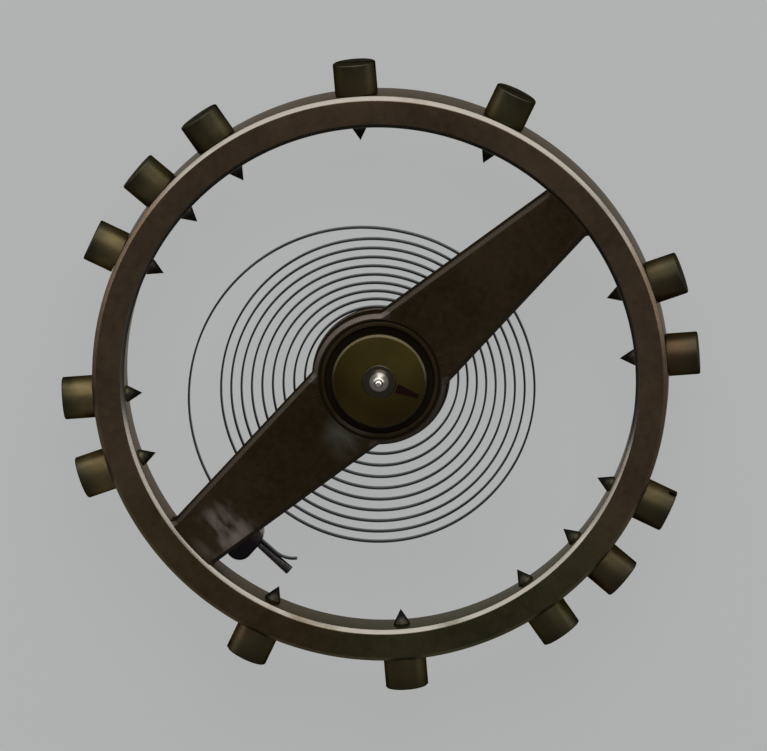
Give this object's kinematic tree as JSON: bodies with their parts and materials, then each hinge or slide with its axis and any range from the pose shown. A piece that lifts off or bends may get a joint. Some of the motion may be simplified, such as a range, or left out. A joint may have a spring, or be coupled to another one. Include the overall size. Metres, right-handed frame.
{
  "type": "balance wheel",
  "caption": "Screwed balance wheel with one straight arm, on its staff with roller and impulse jewel, and a flat hairspring held by a collet and a stud.",
  "frame": {"origin": "middle of the staff's length, on its axis", "axes": "+Z along the staff towards the roller end, X along the arm"},
  "size_m": [0.0178, 0.0188, 0.0044],
  "materials": {
    "bronze": "dark bronze, turned and polished, slightly tarnished",
    "screw_brass": "turned and polished, with dulled flanks",
    "brass": "fine turned, satin",
    "polished_steel": "hardened and burnished",
    "spring_steel": "rolled strip, smooth",
    "blued_steel": "worn purple-blue temper colour",
    "pin_steel": "drawn, dull",
    "ruby": "polished"
  },
  "bodies": {
    "stud": {"stud": "blued_steel", "stud_pin": "pin_steel"},
    "balance": {"balance_wheel": "bronze", "rim_screw_01": "screw_brass", "rim_screw_02": "screw_brass", "rim_screw_03": "screw_brass", "rim_screw_04": "screw_brass", "rim_screw_05": "screw_brass", "rim_screw_06": "screw_brass", "rim_screw_07": "screw_brass", "rim_screw_08": "screw_brass", "rim_screw_09": "screw_brass", "rim_screw_10": "screw_brass", "rim_screw_11": "screw_brass", "rim_screw_12": "screw_brass", "rim_screw_13": "screw_brass", "rim_screw_14": "screw_brass", "balance_staff": "polished_steel", "roller_table": "brass", "impulse_jewel": "ruby", "collet": "brass", "collet_pin": "brass", "hairspring": "spring_steel"}
  },
  "joints": [
    {"name": "balance_swing", "type": "hinge", "parent": "stud", "child": "balance", "pos_m": [0, 0, 0], "axis": [0, 0, 1], "range_deg": [-270, 270], "stiffness_Nm_per_rad": 0.0000128, "deforming": ["hairspring"]}
  ]
}
